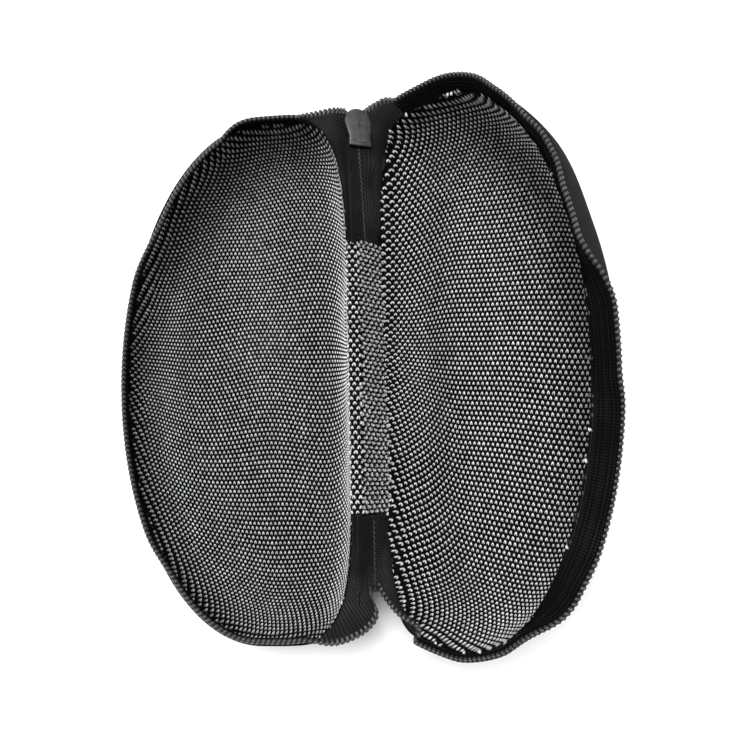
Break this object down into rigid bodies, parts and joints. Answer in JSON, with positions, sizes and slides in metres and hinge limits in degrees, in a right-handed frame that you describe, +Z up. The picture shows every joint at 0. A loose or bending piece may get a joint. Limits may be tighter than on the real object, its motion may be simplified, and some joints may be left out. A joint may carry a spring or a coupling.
{
  "type": "headphone carrying case",
  "caption": "Slim zipped clamshell carrying case for small headphones: two moulded foam bowls with mesh lining, joined by a soft spine.",
  "frame": {"origin": "centre of the base bowl's flat underside, on the surface it stands on", "axes": "+Z up out of the open base bowl, +Y along the spine towards the zipper slider, +X across the spine towards the open lid"},
  "size_m": [0.1474, 0.166, 0.0632],
  "materials": {
    "cover_fabric": "fine black woven polyester laminated to foam, matt",
    "foam": "black closed-cell EVA foam, moulded",
    "mesh_lining": "knitted net with silver-grey yarn over black ground",
    "zipper_tape": "black woven polyester tape",
    "zipper_coil": "dark grey nylon monofilament coil, semi-gloss",
    "core_cord": "twisted black polyester cord",
    "tack_thread": "dense bar tack in black thread",
    "stop_metal": "black painted crimp",
    "slider_metal": "mid-grey painted die-cast zinc, matt",
    "puller_metal": "grey painted die-cast zinc, matt",
    "puller_grip": "black soft moulded grip"
  },
  "bodies": {
    "base": {"base_outer_cover": "cover_fabric", "base_foam_shell": "foam", "base_lining": "mesh_lining", "base_zip_tape": "zipper_tape", "base_zip_coil": "zipper_coil", "base_coil_cord": "core_cord"},
    "lid": {"lid_outer_cover": "cover_fabric", "lid_foam_shell": "foam", "lid_lining": "mesh_lining", "lid_zip_tape": "zipper_tape", "lid_zip_coil": "zipper_coil", "lid_coil_cord": "core_cord", "spine_cover": "cover_fabric", "spine_foam": "foam", "spine_lining": "mesh_lining", "top_chain_tapes": "zipper_tape", "top_chain_coils": "zipper_coil", "bottom_chain_tapes": "zipper_tape", "bottom_chain_coils": "zipper_coil", "bottom_stop": "stop_metal", "tape_end_tacks": "tack_thread"},
    "slider": {"slider_outer_plate": "slider_metal", "slider_inner_plate": "slider_metal", "slider_neck": "slider_metal", "slider_bail": "slider_metal"},
    "puller": {"puller_tab": "puller_metal", "puller_grip": "puller_grip"}
  },
  "joints": [
    {"name": "lid_hinge", "type": "hinge", "parent": "base", "child": "lid", "pos_m": [0.0358, 0, 0.026], "axis": [0, -1, 0], "range_deg": [0, 144]},
    {"name": "slider_slide", "type": "slide", "parent": "lid", "child": "slider", "axis": [0.0544, -0.998, -0.0314], "range_m": [0, 0.003]},
    {"name": "puller_swing", "type": "hinge", "parent": "slider", "child": "puller", "pos_m": [0.03512, 0.0785, 0.01875], "axis": [0, -1, 0], "range_deg": [-2, 35]}
  ]
}
